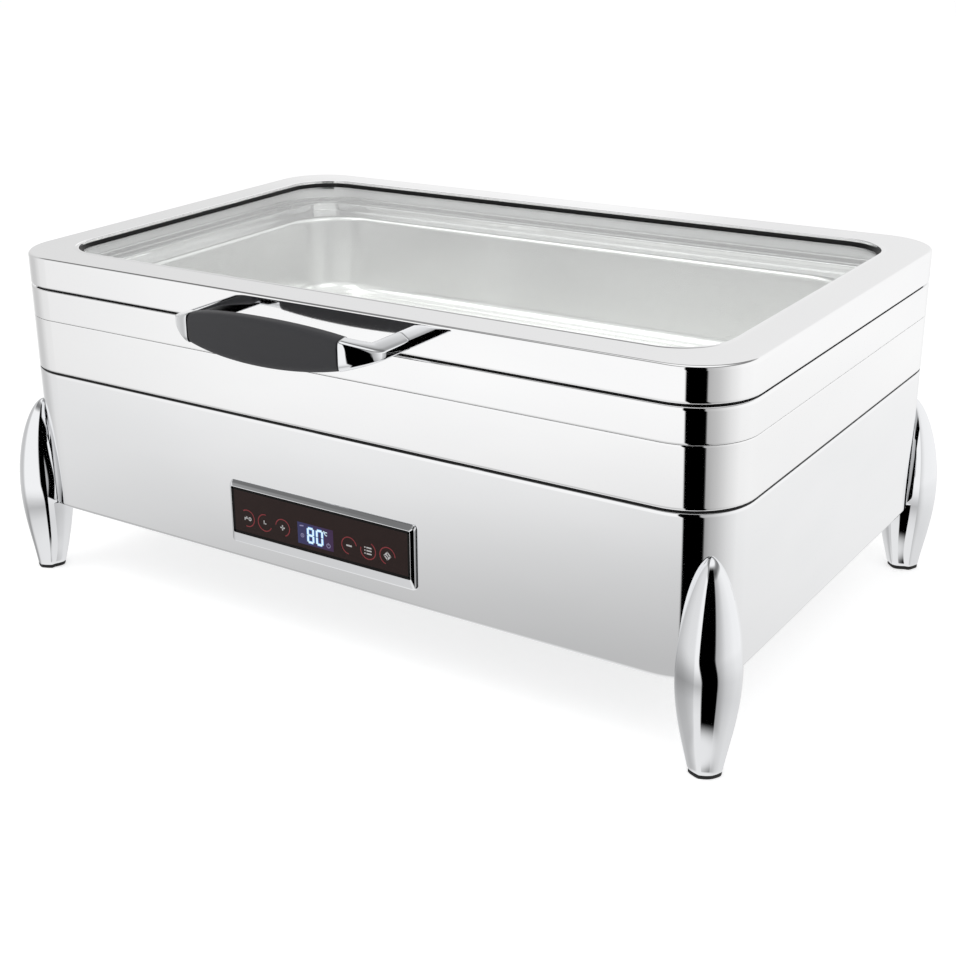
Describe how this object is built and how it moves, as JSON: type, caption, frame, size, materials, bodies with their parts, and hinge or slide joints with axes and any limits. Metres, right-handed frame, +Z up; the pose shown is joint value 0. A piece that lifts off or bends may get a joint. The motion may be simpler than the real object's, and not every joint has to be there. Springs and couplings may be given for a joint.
{
  "type": "electric chafing dish",
  "caption": "Rectangular electric chafing dish: hinged steel lid with a flat glass window, lift-out food pan over a heated water pan, touch panel and chrome legs.",
  "frame": {"origin": "on the table under the middle of the whole dish, handle and hinges included", "axes": "+X to the right as seen from the control panel, -Y towards the front, +Z up"},
  "size_m": [0.6128, 0.4524, 0.2612],
  "materials": {
    "mirror_steel": "mirror polished",
    "pan_steel": "bright",
    "satin_steel": "satin",
    "bright_steel": "bright",
    "zinc_screws": "zinc plated",
    "chrome_casting": "chrome plated",
    "foot_rubber": "matte",
    "silicone": "matte",
    "lid_window": "clear tempered",
    "soft_grip": "soft matte",
    "damper_black": "satin",
    "heater_alloy": "cast",
    "element_sheath": "annealed",
    "post_ceramic": "unglazed",
    "fibre_mat": "fibrous",
    "sensor_brass": "bright",
    "circuit_board": "solder mask",
    "black_plastic": "moulded",
    "wire_sleeve": "silicone sleeve",
    "bezel_chrome": "chrome plated",
    "panel_black": "gloss",
    "display_blue": "lit"
  },
  "bodies": {
    "base": {"lower_housing": "mirror_steel", "upper_shell": "mirror_steel", "water_pan": "pan_steel", "food_pan": "pan_steel", "bottom_cover": "satin_steel", "heater_tray": "satin_steel", "element_clamps": "satin_steel", "hinge_bracket_left": "bright_steel", "hinge_bracket_right": "bright_steel", "hinge_pins": "bright_steel", "cover_screws": "zinc_screws", "leg_bolts": "zinc_screws", "seam_screws": "zinc_screws", "heater_screws": "zinc_screws", "board_screws": "zinc_screws", "inlet_screws": "zinc_screws", "panel_nuts": "zinc_screws", "bracket_screws": "zinc_screws", "leg_front_left": "chrome_casting", "leg_front_right": "chrome_casting", "leg_rear_left": "chrome_casting", "leg_rear_right": "chrome_casting", "foot_pads": "foot_rubber", "hinge_dampers": "damper_black", "heater_plate": "heater_alloy", "heating_element": "element_sheath", "heater_posts": "post_ceramic", "thermal_cutout": "post_ceramic", "insulation_mat": "fibre_mat", "temperature_sensor": "sensor_brass", "inlet_blades": "sensor_brass", "board_posts": "sensor_brass", "touch_contacts": "sensor_brass", "power_board": "circuit_board", "touch_board": "circuit_board", "board_components": "black_plastic", "mains_inlet": "black_plastic", "panel_box": "black_plastic", "mains_wires": "wire_sleeve", "heater_wires": "wire_sleeve", "sensor_wire": "wire_sleeve", "panel_cable": "wire_sleeve", "panel_bezel": "bezel_chrome", "panel_glass": "panel_black", "display_module": "display_blue"},
    "lid": {"lid_frame": "mirror_steel", "lid_glass": "lid_window", "glass_seal": "silicone", "glass_retainer": "satin_steel", "retainer_screws": "zinc_screws", "lid_gasket": "silicone", "handle_end_left": "chrome_casting", "handle_end_right": "chrome_casting", "handle_grip": "soft_grip", "handle_rod": "bright_steel", "handle_screws": "zinc_screws", "hinge_leaf_left": "bright_steel", "hinge_leaf_right": "bright_steel", "leaf_screws": "zinc_screws"}
  },
  "joints": [
    {"name": "lid_hinge", "type": "hinge", "parent": "base", "child": "lid", "pos_m": [0, 0.2178, 0.23425], "axis": [-1, 0, 0], "range_deg": [0, 90]}
  ]
}
